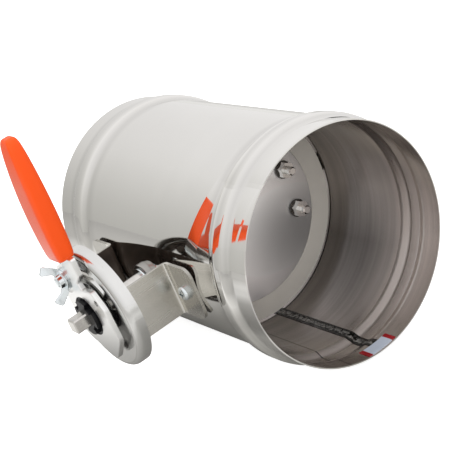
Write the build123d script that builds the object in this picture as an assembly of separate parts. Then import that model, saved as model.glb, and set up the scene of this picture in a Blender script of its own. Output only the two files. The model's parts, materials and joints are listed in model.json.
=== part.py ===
from build123d import *
import math
import os

# Round duct damper. Millimetres. X runs along the duct towards its front mouth, Y along the
# shaft (the handle is at -Y), Z up. The origin is the centre of the front mouth.

# Duct tube
DUCT_RADIUS = 75.0
DUCT_WALL = 0.8
FRONT_LENGTH = 117.5
REAR_LENGTH = 108.0
FRONT_SPIGOT = 14.5
REAR_SPIGOT = 18.0
BEAD_WIDTH = 20.5
BEAD_HEIGHT = 2.8
BEAD_RAMP = 6.0
BEAD_BEND = 6.0

# Sealant over the seam and the label at the mouth
SEAM_WIDTH = 7.0
SEAM_THICK = 0.35
LABEL_WIDTH = 23.0
LABEL_DEPTH = 9.5
LABEL_THICK = 0.3
LABEL_RIM_GAP = 1.0
LABEL_TURN = 1.0

# Shaft and its bushes
SHAFT_RADIUS = 6.0
SHAFT_RUNNING = 0.06
SQUARE_SIZE = 9.4
SQUARE_CHAMFER = 0.8
SQUARE_FIT = 0.05
TIP_REACH = 13.2
FAR_REACH = 9.0
BUSH_FLANGE_RADIUS = 10.5
BUSH_FLANGE_THICK = 4.0
BUSH_SPIGOT_RADIUS = 7.5
SEAT_GAP = 0.05
CLIP_THICK = 1.2
CLIP_WIDTH = 2.9
CLIP_GAP_ANGLE = 70.0
GROOVE_DEPTH = 0.5
RUN_GAP = 0.3

# Bracket
SHEET = 2.0
SHEET_BEND = 1.5
BRACKET_HALF = 35.0
BRACKET_STAND = 33.0
BRACKET_HEIGHT = 36.4
FLANGE_REACH = 26.0
FLANGE_CORNER = 7.0
SCREW_OFFSET = 13.0
SCREW_RADIUS = 2.5
SCREW_HEAD_RADIUS = 4.75
SCREW_HEAD_HEIGHT = 3.4
SCREW_TAIL = 1.0
SCREW_NUT_SIZE = 8.0
SCREW_NUT_HEIGHT = 4.0
RECESS_WIDTH = 1.1
RECESS_LENGTH = 5.2
RECESS_DEPTH = 1.6
HOLE_PLAY = 0.2

# Bush in the bracket
WEB_BUSH_RADIUS = 8.0
WEB_BUSH_FLANGE = 10.0
WEB_BUSH_FLANGE_THICK = 1.8
WEB_BUSH_PROUD = 0.3

# Dial plate
DIAL_RADIUS = 42.5
DIAL_SHEET = 1.2
DIAL_RISE = 7.0
DIAL_SKIRT = 9.5
DIAL_SHOULDER = 4.0
DIAL_WELL_RADIUS = 17.6
DIAL_STEP = 2.0
DIAL_BEND = 1.0
SLOT_INNER = 24.0
SLOT_OUTER = 32.5
SLOT_START = 217.0
SLOT_END = 37.0
WINDOW_START = 30.0
WINDOW_END = 15.0
RIVET_CIRCLE = 13.2
RIVET_RADIUS = 1.6
RIVET_HEAD_RADIUS = 2.9
RIVET_HEAD_HEIGHT = 1.2
RIVET_COUNT = 4

# Lever, from the dial's face outwards
LEVER_GAP = 2.8
LEVER_DEPTH = 3.5
LEVER_SHEET = 1.5
LEVER_HUB_RADIUS = 14.0
TANG_WIDTH = 12.0
TANG_END = 112.0
EAR_RADIUS = 10.0
EAR_STEP = 1.2
EAR_SIDE = -1.5
EAR_LOW = 26.0
EAR_HIGH = 41.5
EAR_BLEND = 2.0
SIGHT_HOLE_RADIUS = 2.2
SIGHT_HOLE_AT = (20.6, 14.2)

# Outline of the lever about the shaft, as across, up and corner radius: neck, ear for the
# lock, hub ring and pointed lobe
LEVER_CORNERS = (
    (-9.5, 43.6, 1.5),
    (11.8, 43.6, 1.5),
    (11.8, 31.0, 2.0),
    (4.6, 25.4, 1.5),
    (6.6, 20.6, 1.5),
    (19.0, 21.4, 4.0),
    (26.6, 10.0, 7.0),
    (28.5, -13.5, 6.0),
    (13.0, -30.5, 6.0),
    (-20.5, -16.0, 14.0),
    (-20.5, 12.0, 5.0),
    (-24.5, 20.0, 5.0),
    (-21.0, 33.5, 7.0),
    (-9.5, 33.5, 2.5),
)

# Hub insert
INSERT_FIT = 0.1
INSERT_SUNK = 0.8
INSERT_PROUD = 2.6
INSERT_FLANGE = 2.4
INSERT_FLANGE_THICK = 3.0
BOSS_RADIUS = 12.2
NOTCH_INNER = 8.2
NOTCH_SPAN = 34.0
NOTCH_COUNT = 4
SLEEVE_WALL = 2.8

# Grip: height above the shaft, half width along X, half depth along Y
GRIP_STATIONS = (
    (44.0, 10.2, 7.7),
    (56.0, 11.2, 8.5),
    (70.0, 12.0, 9.1),
    (84.0, 12.0, 9.0),
    (98.0, 10.9, 7.9),
    (112.0, 9.2, 6.3),
    (122.0, 7.2, 4.9),
    (127.5, 3.6, 2.5),
)
GRIP_FIT = 0.1

# Lock: bolt through the arc slot, spacer, washer and wing nut
LOCK_ANGLE = 119.0
LOCK_RADIUS = 3.0
LOCK_HEAD_RADIUS = 6.3
LOCK_HEAD_HEIGHT = 3.2
LOCK_NECK = 6.3
LOCK_SPACER_RADIUS = 6.2
LOCK_WASHER_RADIUS = 7.4
LOCK_WASHER_THICK = 1.2
LOCK_TAIL = 0.8
WING_COLLAR_RADIUS = 6.8
WING_COLLAR_THICK = 1.9
WING_HUB_RADIUS = 5.0
WING_HUB_TOP = 4.4
WING_HUB_HEIGHT = 5.0
WING_THICK = 2.4
WING_EDGE = 0.4
WING_TURN = 12.0
THREAD_FIT = 0.05

# Outline of one wing, as distance from the bolt, rise from the seat and corner radius
WING_CORNERS = (
    (3.6, 0.3, 0.2),
    (7.4, 0.3, 1.5),
    (9.0, 1.9, 3.0),
    (14.5, 9.2, 1.4),
    (9.4, 13.4, 1.4),
    (6.2, 5.6, 2.0),
    (3.6, 4.2, 0.2),
)

# Blade: plates and seal stacked in front of the shaft, each inside the one before
SEAL_CLEARANCE = 1.2
SEAL_LIP = 3.5
SEAL_THICK = 1.5
SEAL_LAP = 17.7
BACK_PLATE_THICK = 1.2
FRONT_PLATE_INSET = 11.8
FRONT_PLATE_THICK = 1.0
BLADE_EDGE = 0.4

# Saddles and their bolts
SADDLE_INSET = 15.7
SADDLE_WIDTH = 16.0
SADDLE_SHEET = 2.0
SADDLE_EAR_END = 22.0
BOLT_SPACING = 15.0
BOLT_RADIUS = 3.0
BOLT_SIZE = 10.0
BOLT_HEAD_HEIGHT = 4.0
BOLT_NUT_HEIGHT = 5.0
BOLT_WASHER_RADIUS = 6.2
BOLT_WASHER_THICK = 1.2
BOLT_TAIL = 5.5

# Planes worked out from the sizes above, as distances from the duct's axis
INNER_RADIUS = DUCT_RADIUS - DUCT_WALL
SEAT = DUCT_RADIUS + SEAT_GAP
FLANGE_FACE = SEAT + SHEET
WEB_FACE = SEAT + BRACKET_STAND
WEB_BACK = WEB_FACE - SHEET
WELL_FACE = WEB_FACE + DIAL_SHEET
DIAL_FACE = WELL_FACE + DIAL_RISE
DIAL_BACK = DIAL_FACE - DIAL_SHEET
LEVER_BACK = DIAL_FACE + LEVER_GAP
LEVER_FACE = LEVER_BACK + LEVER_DEPTH
LEVER_INSIDE = LEVER_FACE - LEVER_SHEET
BUSH_FACE = DUCT_RADIUS + BUSH_FLANGE_THICK
CLIP_FACE = BUSH_FACE + RUN_GAP
EAR_FACE = LEVER_INSIDE
EAR_BACK = EAR_FACE - LEVER_SHEET
GRIP_CENTRE = LEVER_FACE - LEVER_SHEET / 2
INSERT_FACE = LEVER_FACE + INSERT_PROUD
SLOT_RADIUS = (SLOT_INNER + SLOT_OUTER) / 2
SEAL_RADIUS = INNER_RADIUS - SEAL_CLEARANCE
BACK_PLATE_RADIUS = SEAL_RADIUS - SEAL_LIP
FRONT_PLATE_RADIUS = BACK_PLATE_RADIUS - FRONT_PLATE_INSET
SEAL_INNER = FRONT_PLATE_RADIUS - SEAL_LAP
SADDLE_SPACING = FRONT_PLATE_RADIUS - SADDLE_INSET
SADDLE_FACE = SHAFT_RADIUS + SEAT_GAP
BACK_PLATE_FACE = SADDLE_FACE + BACK_PLATE_THICK
SEAL_FACE = BACK_PLATE_FACE + SEAL_THICK
BLADE_FACE = SEAL_FACE + FRONT_PLATE_THICK

os.makedirs("parts", exist_ok=True)


def save(name, shape):
    """Write one piece, moved from the shaft's crossing to its place behind the mouth."""
    export_step(Pos(-FRONT_LENGTH, 0, 0) * shape, f"parts/{name}.step")


def handle_plane(distance):
    """Plane square to the shaft on the handle side, facing outwards."""
    return Plane(origin=(0, -distance, 0), x_dir=(1, 0, 0), z_dir=(0, -1, 0))


def blade_plane(distance):
    """Plane square to the duct, facing its front mouth; its x runs along the shaft."""
    return Plane(origin=(distance, 0, 0), x_dir=(0, 1, 0), z_dir=(1, 0, 0))


def rod(radius, near, far):
    """Round bar on the shaft's axis, from one distance to a larger one on the handle side."""
    return extrude(handle_plane(near) * Circle(radius), far - near)


def sleeve(bore, radius, near, far):
    """Round sleeve on the shaft's axis."""
    return rod(radius, near, far) - rod(bore, near - 1, far + 1)


def duct_rod(radius):
    """Round bar on the duct's axis, longer than the duct."""
    return Rot(Y=90) * Cylinder(radius, 2 * (FRONT_LENGTH + REAR_LENGTH))


def hex_bar(size, height):
    """Hexagonal bar across flats, standing on the plane z = 0."""
    return extrude(RegularPolygon(size / 2, 6, major_radius=False), height)


def set_off(points, radii, distance):
    """The same rounded line, set off to its left by a distance."""
    moved = []
    bends = []
    last = len(points) - 1
    for number, (x, y) in enumerate(points):
        before = direction(points[max(number - 1, 0)], points[max(number, 1)])
        after = direction(points[min(number, last - 1)], points[min(number + 1, last)])
        sine = before[0] * after[1] - before[1] * after[0]
        turn = math.atan2(sine, before[0] * after[0] + before[1] * after[1])
        slide = distance * math.tan(turn / 2)
        moved_x = x - before[1] * distance - before[0] * slide
        moved_y = y + before[0] * distance - before[1] * slide
        moved.append((moved_x, moved_y))
        if 0 < number < last:
            bends.append(radii[number - 1] - math.copysign(distance, turn))
    return moved, bends


def direction(start, end):
    """Unit vector from one point to another."""
    length = math.dist(start, end)
    return (end[0] - start[0]) / length, (end[1] - start[1]) / length


def sheet_section(points, radii, thickness):
    """Section of a formed sheet that lies to the left of a rounded line."""
    other_points, other_radii = set_off(points, radii, thickness)
    side = rounded_line(points, radii)
    other = rounded_line(other_points, other_radii)
    ends = [Line(points[0], other_points[0]), Line(points[-1], other_points[-1])]
    return make_face(side.edges() + other.edges() + ends)


def rounded_line(points, radii):
    """Open line with one radius for each inner corner."""
    return FilletPolyline(*points, radius=radii)


def arc_window(inner, outer, start, end, low, high):
    """Solid that cuts an arc window: angles from +X towards +Z, start above end."""
    section = Polyline((inner, -low), (outer, -low), (outer, -high), (inner, -high), close=True)
    return Rot(Y=-start) * revolve(make_face(section.edges()), Axis.Y, start - end)


def duct_line():
    """Outer line of the tube from the rear rim to the front one, with its two beads."""
    front_bead = FRONT_LENGTH - FRONT_SPIGOT
    rear_bead = -REAR_LENGTH + REAR_SPIGOT
    crest = DUCT_RADIUS + BEAD_HEIGHT
    points = [(-REAR_LENGTH, DUCT_RADIUS)]
    for low in (rear_bead, front_bead - BEAD_WIDTH):
        high = low + BEAD_WIDTH
        points.append((low, DUCT_RADIUS))
        points.append((low + BEAD_RAMP, crest))
        points.append((high - BEAD_RAMP, crest))
        points.append((high, DUCT_RADIUS))
    points.append((FRONT_LENGTH, DUCT_RADIUS))
    hollow = BEAD_BEND
    round_over = BEAD_BEND + DUCT_WALL
    return points, [hollow, round_over, round_over, hollow] * 2


def make_duct_body():
    """Rolled tube with a swaged bead near each end and holes for the bushes and screws."""
    points, radii = duct_line()
    points = points[::-1]
    radii = radii[::-1]
    tube = revolve(sheet_section(points, radii, DUCT_WALL), Axis.X, 360)
    reach = DUCT_RADIUS + BEAD_HEIGHT
    tube -= rod(BUSH_SPIGOT_RADIUS + SEAT_GAP, -reach, reach)
    for side in (-1, 1):
        hole = rod(SCREW_RADIUS + HOLE_PLAY, 0, reach)
        tube -= Pos(side * (BRACKET_HALF + SCREW_OFFSET), 0, 0) * hole
    return tube


def make_seam_sealant():
    """Strip of sealant that follows the wall along the bottom seam, up to the label."""
    points, radii = duct_line()
    points[-1] = (FRONT_LENGTH - LABEL_RIM_GAP - LABEL_DEPTH - RUN_GAP, DUCT_RADIUS)
    points, radii = set_off(points[::-1], radii[::-1], DUCT_WALL + SEAT_GAP)
    turn = math.degrees(SEAM_WIDTH / INNER_RADIUS)
    section = Rot(X=-90 - turn / 2) * sheet_section(points, radii, SEAM_THICK)
    return revolve(section, Axis.X, turn)


def make_rim_label():
    """Thin strip stuck on the wall inside the mouth, over the end of the seam."""
    far = FRONT_LENGTH - LABEL_RIM_GAP
    near = far - LABEL_DEPTH
    high = INNER_RADIUS - SEAT_GAP
    low = high - LABEL_THICK
    section = Polyline((near, low), (far, low), (far, high), (near, high), close=True)
    turn = math.degrees(LABEL_WIDTH / INNER_RADIUS)
    strip = Rot(X=-90 - LABEL_TURN - turn / 2) * make_face(section.edges())
    return revolve(strip, Axis.X, turn)


def make_bush():
    """Flanged bush on the handle side; its spigot ends flush with the tube's inner wall."""
    flange = rod(BUSH_FLANGE_RADIUS, 0, BUSH_FACE) - duct_rod(DUCT_RADIUS + SEAT_GAP)
    flange = fillet(flange.edges().group_by(Axis.Y)[0], SQUARE_CHAMFER)
    spigot = rod(BUSH_SPIGOT_RADIUS, 0, DUCT_RADIUS + SHEET) - duct_rod(INNER_RADIUS)
    return flange + spigot - rod(SHAFT_RADIUS + SHAFT_RUNNING, 0, BUSH_FACE + 1)


def make_bracket():
    """Folded hat bracket: two flanges on the wall, two sides and a web for the dial."""
    end = BRACKET_HALF + FLANGE_REACH
    half = BRACKET_HALF
    points = [(-end, -FLANGE_FACE), (-half, -FLANGE_FACE), (-half, -WEB_FACE)]
    points += [(half, -WEB_FACE), (half, -FLANGE_FACE), (end, -FLANGE_FACE)]
    outer_bend = SHEET_BEND + SHEET
    radii = [SHEET_BEND, outer_bend, outer_bend, SHEET_BEND]
    section = Pos(0, 0, -BRACKET_HEIGHT / 2) * sheet_section(points, radii, SHEET)
    bracket = extrude(section, BRACKET_HEIGHT)
    corners = bracket.edges().filter_by(Axis.Y).group_by(Axis.X)
    bracket = fillet(corners[0] + corners[-1], FLANGE_CORNER)
    bracket -= rod(WEB_BUSH_RADIUS + SEAT_GAP, WEB_BACK - 1, WEB_FACE + 1)
    for spot in rivet_spots():
        bracket -= spot * rod(RIVET_RADIUS + SEAT_GAP, WEB_BACK - 1, WEB_FACE + 1)
    for side in (-1, 1):
        hole = rod(SCREW_RADIUS + HOLE_PLAY, SEAT - 1, FLANGE_FACE + 1)
        bracket -= Pos(side * (half + SCREW_OFFSET), 0, 0) * hole
    return bracket


def rivet_spots():
    """Places of the rivets about the shaft."""
    step = 360 / RIVET_COUNT
    angles = [math.radians(step * (number + 0.5)) for number in range(RIVET_COUNT)]
    return [Pos(RIVET_CIRCLE * math.cos(a), 0, RIVET_CIRCLE * math.sin(a)) for a in angles]


def make_rivets():
    """Rivets through the dial's well and the bracket's web."""
    rivet = rod(RIVET_RADIUS, WEB_BACK, WELL_FACE)
    for near in (WEB_BACK - RIVET_HEAD_HEIGHT, WELL_FACE):
        head = rod(RIVET_HEAD_RADIUS, near, near + RIVET_HEAD_HEIGHT)
        edges = head.edges().group_by(Axis.Y)
        rivet += fillet(edges[0 if near == WELL_FACE else -1], RIVET_HEAD_HEIGHT * 0.6)
    return Compound([spot * rivet for spot in rivet_spots()])


def make_screws():
    """Cross-recessed pan-head screws through the flanges and the tube."""
    places = [Pos(side * (BRACKET_HALF + SCREW_OFFSET), 0, 0) for side in (-1, 1)]
    top = FLANGE_FACE + SCREW_HEAD_HEIGHT
    head = rod(SCREW_HEAD_RADIUS, FLANGE_FACE, top)
    head = fillet(head.edges().group_by(Axis.Y)[0], SCREW_HEAD_HEIGHT * 0.6)
    for turn in (0, 90):
        slot = handle_plane(top - RECESS_DEPTH) * (Rot(Z=turn) * Rectangle(RECESS_LENGTH, RECESS_WIDTH))
        head -= extrude(slot, RECESS_DEPTH + 1)
    screw = head + rod(SCREW_RADIUS, nut_end() - SCREW_TAIL, FLANGE_FACE)
    return Compound([place * screw for place in places])


def nut_face():
    """Distance of the face on which a screw's nut meets the curved wall with its corners."""
    corner = SCREW_NUT_SIZE / math.sqrt(3)
    return math.sqrt(INNER_RADIUS**2 - corner**2) - SEAT_GAP


def nut_end():
    """Distance of the screw nut's free end."""
    return nut_face() - SCREW_NUT_HEIGHT


def make_screw_nuts():
    """Hexagonal nuts inside the tube."""
    nut = Pos(0, -nut_face(), 0) * Rot(X=-90) * hex_bar(SCREW_NUT_SIZE, SCREW_NUT_HEIGHT)
    nut -= rod(SCREW_RADIUS + THREAD_FIT, nut_end() - 1, DUCT_RADIUS)
    return Compound([Pos(side * (BRACKET_HALF + SCREW_OFFSET), 0, 0) * nut for side in (-1, 1)])


def make_bracket_bush():
    """Flanged bush that carries the shaft in the web and centres the dial."""
    bush = rod(WEB_BUSH_RADIUS, WEB_BACK, WELL_FACE + WEB_BUSH_PROUD)
    bush += rod(WEB_BUSH_FLANGE, WEB_BACK - WEB_BUSH_FLANGE_THICK, WEB_BACK)
    return bush - rod(SHAFT_RADIUS + SHAFT_RUNNING, WEB_BACK - SHEET - 1, WELL_FACE + 1)


def make_dial_plate():
    """Pressed pan: sunk well, raised ring with arc windows, rim turned back."""
    ring = DIAL_WELL_RADIUS + DIAL_STEP
    points = [(WEB_BUSH_RADIUS + SEAT_GAP, -WELL_FACE), (DIAL_WELL_RADIUS, -WELL_FACE)]
    points += [(ring, -DIAL_FACE), (DIAL_RADIUS, -DIAL_FACE)]
    points += [(DIAL_RADIUS, -DIAL_FACE + DIAL_SKIRT)]
    radii = [DIAL_BEND, DIAL_BEND + DIAL_SHEET, DIAL_SHOULDER]
    dial = revolve(sheet_section(points, radii, DIAL_SHEET), Axis.Y, 360)
    for start, end in ((SLOT_START, SLOT_END), (WINDOW_START, WINDOW_END)):
        dial -= arc_window(SLOT_INNER, SLOT_OUTER, start, end, WEB_FACE + 1, DIAL_FACE + 1)
    for spot in rivet_spots():
        dial -= spot * rod(RIVET_RADIUS + SEAT_GAP, WEB_FACE - 1, WELL_FACE + 1)
    return dial


def make_shaft():
    """Round bar with clip grooves, squared at the handle end."""
    tip = LEVER_FACE + TIP_REACH
    square_start = insert_back() - SEAT_GAP
    far = -BUSH_FACE - FAR_REACH
    shaft = rod(SHAFT_RADIUS, far, square_start)
    square = extrude(handle_plane(square_start) * Rectangle(SQUARE_SIZE, SQUARE_SIZE), tip - square_start)
    square &= rod(SHAFT_RADIUS, square_start - 1, tip + 1)
    shaft += chamfer(square.edges().group_by(Axis.Y)[0], SQUARE_CHAMFER)
    shaft = chamfer(shaft.edges().group_by(Axis.Y)[-1], SQUARE_CHAMFER)
    groove = SHAFT_RADIUS - GROOVE_DEPTH
    for near in (CLIP_FACE, -CLIP_FACE - CLIP_THICK):
        shaft -= sleeve(groove, SHAFT_RADIUS + 1, near - SEAT_GAP, near + CLIP_THICK + SEAT_GAP)
    return shaft


def make_shaft_clips():
    """Open retaining rings in the shaft's grooves, one outside each bush."""
    bore = SHAFT_RADIUS - GROOVE_DEPTH + SEAT_GAP
    clips = []
    for near in (CLIP_FACE, -CLIP_FACE - CLIP_THICK):
        ring = sleeve(bore, bore + CLIP_WIDTH, near, near + CLIP_THICK)
        start = 270 + CLIP_GAP_ANGLE / 2
        mouth = (bore - 1, bore + CLIP_WIDTH + 1, start, start - CLIP_GAP_ANGLE)
        clips.append(ring - arc_window(*mouth, near - 1, near + CLIP_THICK + 1))
    return Compound(clips)


def make_spacer_sleeve():
    """Sleeve on the shaft that keeps the lever off the dial."""
    near = WELL_FACE + WEB_BUSH_PROUD + RUN_GAP
    bore = SHAFT_RADIUS + SHAFT_RUNNING
    return sleeve(bore, bore + SLEEVE_WALL, near, insert_back() - SEAT_GAP)


def insert_back():
    """Distance of the hub insert's back face."""
    return LEVER_INSIDE - SEAT_GAP - INSERT_FLANGE_THICK


def rounded_face(corners):
    """Face inside a closed outline of (across, up, radius) corners."""
    points = [corner[:2] for corner in corners]
    radii = [corner[2] for corner in corners]
    return make_face(FilletPolyline(*points, radius=radii, close=True).edges())


def ear_zone():
    """Zone of the lever that is sunk for the lock: round about the bolt, straight by the neck."""
    far = -SLOT_RADIUS - EAR_RADIUS
    top = [(EAR_SIDE, EAR_LOW), (EAR_SIDE, EAR_HIGH), (far, EAR_HIGH), (far, EAR_LOW)]
    outline = make_face(Polyline(*top, close=True).edges())
    angle = math.radians(LOCK_ANGLE)
    place = Pos(SLOT_RADIUS * math.cos(angle), SLOT_RADIUS * math.sin(angle))
    zone = outline + place * Circle(EAR_RADIUS)
    corner = zone.vertices().sort_by(Axis.X)[-2:].sort_by(Axis.Y)[0]
    return fillet(corner, EAR_BLEND)


def make_lever_plate():
    """Pressed lever with its edge turned back, a sunk ear for the lock and a tang in the grip."""
    outline = rounded_face(LEVER_CORNERS)
    block = extrude(handle_plane(LEVER_BACK) * outline, LEVER_DEPTH)
    block = fillet(block.edges().group_by(Axis.Y)[0], LEVER_SHEET / 2)
    hollow = offset(outline, -LEVER_SHEET)
    lever = block - extrude(handle_plane(LEVER_BACK - 1) * hollow, LEVER_DEPTH - LEVER_SHEET + 1)
    zone = ear_zone()
    wall = offset(zone, EAR_STEP)
    lever += block & extrude(handle_plane(EAR_BACK) * wall, LEVER_FACE - EAR_BACK)
    lever -= extrude(handle_plane(EAR_FACE) * zone, LEVER_DEPTH)
    lever += tang(0)
    lever -= rod(LEVER_HUB_RADIUS, LEVER_BACK - 1, LEVER_FACE + 1)
    lever -= lock_place() * rod(LOCK_RADIUS + HOLE_PLAY, LEVER_BACK - 1, LEVER_FACE + 1)
    sight = Pos(SIGHT_HOLE_AT[0], 0, SIGHT_HOLE_AT[1])
    return lever - sight * rod(SIGHT_HOLE_RADIUS, LEVER_INSIDE - 1, LEVER_FACE + 1)


def tang(play):
    """Flat tang of the lever, enlarged by some play for the pocket that takes it."""
    start = GRIP_STATIONS[0][0] - 2
    width = TANG_WIDTH + 2 * play
    strip = Pos(0, (start + TANG_END + play) / 2) * Rectangle(width, TANG_END + play - start)
    return extrude(handle_plane(LEVER_INSIDE - play) * strip, LEVER_SHEET + 2 * play)


def make_hub_insert():
    """Moulded hub with a square hole, a flange behind the lever and a notched boss in front."""
    floor = LEVER_FACE - INSERT_SUNK
    insert = rod(BOSS_RADIUS, insert_back(), INSERT_FACE)
    step = 360 / NOTCH_COUNT
    for number in range(NOTCH_COUNT):
        start = step * (number + 0.5) + NOTCH_SPAN / 2
        notch = (NOTCH_INNER, BOSS_RADIUS + 1, start, start - NOTCH_SPAN)
        insert -= arc_window(*notch, floor, INSERT_FACE + 1)
    insert += rod(LEVER_HUB_RADIUS - INSERT_FIT, insert_back(), floor)
    insert += rod(LEVER_HUB_RADIUS + INSERT_FLANGE, insert_back(), LEVER_INSIDE - SEAT_GAP)
    size = SQUARE_SIZE + 2 * SQUARE_FIT
    hole = extrude(handle_plane(insert_back() - 1) * Rectangle(size, size), TIP_REACH)
    return insert - (hole & rod(SHAFT_RADIUS + SHAFT_RUNNING, insert_back() - 1, INSERT_FACE + 1))


def make_grip():
    """Moulded grip lofted through ovals, with a blind pocket for the tang."""
    sections = []
    for height, half_x, half_y in GRIP_STATIONS:
        sections.append(Plane.XY.offset(height) * Pos(0, -GRIP_CENTRE) * Ellipse(half_x, half_y))
    grip = loft(sections)
    top = grip.edges().group_by(Axis.Z)[-1]
    grip = fillet(top, GRIP_STATIONS[-1][2] * 0.6)
    return grip - tang(GRIP_FIT)


def lock_place():
    """Place of the lock bolt on the arc slot's centre line."""
    angle = math.radians(LOCK_ANGLE)
    return Pos(SLOT_RADIUS * math.cos(angle), 0, SLOT_RADIUS * math.sin(angle))


def wing_seat():
    """Distance of the face on which the wing nut bears."""
    return EAR_FACE + LOCK_WASHER_THICK


def make_lock_bolt():
    """Round-headed bolt whose square neck slides in the arc slot."""
    head = rod(LOCK_HEAD_RADIUS, DIAL_BACK - LOCK_HEAD_HEIGHT - SEAT_GAP, DIAL_BACK - SEAT_GAP)
    head = fillet(head.edges().group_by(Axis.Y)[-1], LOCK_HEAD_HEIGHT * 0.8)
    turn = Rot(Y=-LOCK_ANGLE)
    neck = extrude(handle_plane(DIAL_BACK - SEAT_GAP) * Rectangle(LOCK_NECK, LOCK_NECK), DIAL_SHEET)
    end = wing_seat() + SEAT_GAP + WING_HUB_HEIGHT + LOCK_TAIL
    shank = rod(LOCK_RADIUS, DIAL_BACK, end)
    shank = chamfer(shank.edges().group_by(Axis.Y)[0], SQUARE_CHAMFER)
    return lock_place() * (head + turn * neck + shank)


def make_lock_spacer():
    """Sleeve round the bolt between the dial and the lever."""
    ring = sleeve(LOCK_RADIUS + THREAD_FIT, LOCK_SPACER_RADIUS, DIAL_FACE + RUN_GAP, EAR_BACK - SEAT_GAP)
    return lock_place() * ring


def make_lock_washer():
    """Flat washer under the wing nut."""
    ring = sleeve(LOCK_RADIUS + THREAD_FIT, LOCK_WASHER_RADIUS, EAR_FACE, wing_seat())
    return lock_place() * ring


def make_wing_nut():
    """Wing nut: collar, tapered hub and two flared wings that stand out from its sides."""
    near = wing_seat() + SEAT_GAP
    hub = loft(
        [
            handle_plane(near) * Circle(WING_HUB_RADIUS),
            handle_plane(near + WING_HUB_HEIGHT) * Circle(WING_HUB_TOP),
        ]
    )
    collar = rod(WING_COLLAR_RADIUS, near, near + WING_COLLAR_THICK)
    nut = hub + fillet(collar.edges().group_by(Axis.Y)[0], WING_EDGE)
    for side in (-1, 1):
        corners = [(near + rise, side * out, radius) for out, rise, radius in WING_CORNERS]
        side_plane = Plane(origin=(-WING_THICK / 2, 0, 0), x_dir=(0, -1, 0), z_dir=(1, 0, 0))
        wing = extrude(side_plane * rounded_face(corners), WING_THICK)
        broad = wing.edges().group_by(Axis.X)
        nut += fillet(broad[0] + broad[-1], WING_EDGE)
    nut -= rod(LOCK_RADIUS + THREAD_FIT, near - 1, near + WING_HUB_HEIGHT + 1)
    return lock_place() * Rot(Y=-WING_TURN) * nut


def bolt_places():
    """Places of the blade's bolts: either side of the shaft under each saddle."""
    return [
        Pos(0, along, across)
        for along in (-SADDLE_SPACING, SADDLE_SPACING)
        for across in (-BOLT_SPACING, BOLT_SPACING)
    ]


def disc(radius, low, high):
    """Disc square to the duct with the blade's bolt holes."""
    plate = extrude(blade_plane(low) * Circle(radius), high - low)
    for place in bolt_places():
        plate -= place * extrude(blade_plane(low - 1) * Circle(BOLT_RADIUS + HOLE_PLAY), high - low + 2)
    return plate


def make_blade_back_plate():
    """Large rear disc of the blade, clamped on the shaft."""
    return disc(BACK_PLATE_RADIUS, SADDLE_FACE, BACK_PLATE_FACE)


def make_seal_ring():
    """Flat silicone ring that reaches past both plates to the wall."""
    ring = disc(SEAL_RADIUS, BACK_PLATE_FACE, SEAL_FACE)
    hole = Circle(SEAL_INNER)
    ring -= extrude(blade_plane(BACK_PLATE_FACE - 1) * hole, SEAL_THICK + 2)
    return ring


def make_blade_front_plate():
    """Smaller front disc; its centre is set back through the ring onto the rear disc."""
    outline = blade_plane(SEAL_FACE) * Circle(FRONT_PLATE_RADIUS)
    plate = extrude(outline, FRONT_PLATE_THICK)
    plate += extrude(blade_plane(BACK_PLATE_FACE) * Circle(SEAL_INNER - SEAT_GAP), SEAL_THICK)
    rim = plate.edges().group_by(Axis.X)[-1].sort_by(SortBy.RADIUS)[-1]
    plate = fillet(rim, BLADE_EDGE)
    for place in bolt_places():
        hole = Circle(BOLT_RADIUS + HOLE_PLAY)
        plate -= place * extrude(blade_plane(BACK_PLATE_FACE - 1) * hole, SEAL_THICK + FRONT_PLATE_THICK + 2)
    return plate


def make_shaft_saddles():
    """Two formed straps over the shaft, bolted to the rear disc."""
    back = -SADDLE_FACE
    points = [(SADDLE_EAR_END, SADDLE_FACE), (SADDLE_FACE, SADDLE_FACE), (SADDLE_FACE, back)]
    points += [(-across, along) for across, along in points[::-1]]
    bend = SADDLE_SHEET + 1
    hoop = SADDLE_FACE - SEAT_GAP
    section = sheet_section(points, [bend, hoop, hoop, bend], SADDLE_SHEET)
    saddles = []
    for along in (-SADDLE_SPACING, SADDLE_SPACING):
        start = Plane(origin=(0, along - SADDLE_WIDTH / 2, 0), x_dir=(0, 0, 1), z_dir=(0, 1, 0))
        strap = extrude(start * section, SADDLE_WIDTH)
        for across in (-BOLT_SPACING, BOLT_SPACING):
            hole = extrude(blade_plane(0) * Circle(BOLT_RADIUS + HOLE_PLAY), SADDLE_FACE + 1)
            strap -= Pos(0, along, across) * hole
        saddles.append(strap)
    return Compound(saddles)


def make_saddle_bolts():
    """Hexagon-headed bolts from behind the blade."""
    under_head = SADDLE_FACE - SADDLE_SHEET
    tip = BLADE_FACE + BOLT_WASHER_THICK + BOLT_NUT_HEIGHT + BOLT_TAIL
    head = Pos(under_head - BOLT_HEAD_HEIGHT, 0, 0) * Rot(Y=90) * hex_bar(BOLT_SIZE, BOLT_HEAD_HEIGHT)
    shank = extrude(blade_plane(under_head) * Circle(BOLT_RADIUS), tip - under_head)
    shank = chamfer(shank.edges().group_by(Axis.X)[-1], SQUARE_CHAMFER)
    return Compound([place * (head + shank) for place in bolt_places()])


def make_saddle_washers():
    """Flat washers on the front plate."""
    ring = Circle(BOLT_WASHER_RADIUS) - Circle(BOLT_RADIUS + THREAD_FIT)
    washer = extrude(blade_plane(BLADE_FACE) * ring, BOLT_WASHER_THICK)
    return Compound([place * washer for place in bolt_places()])


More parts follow.
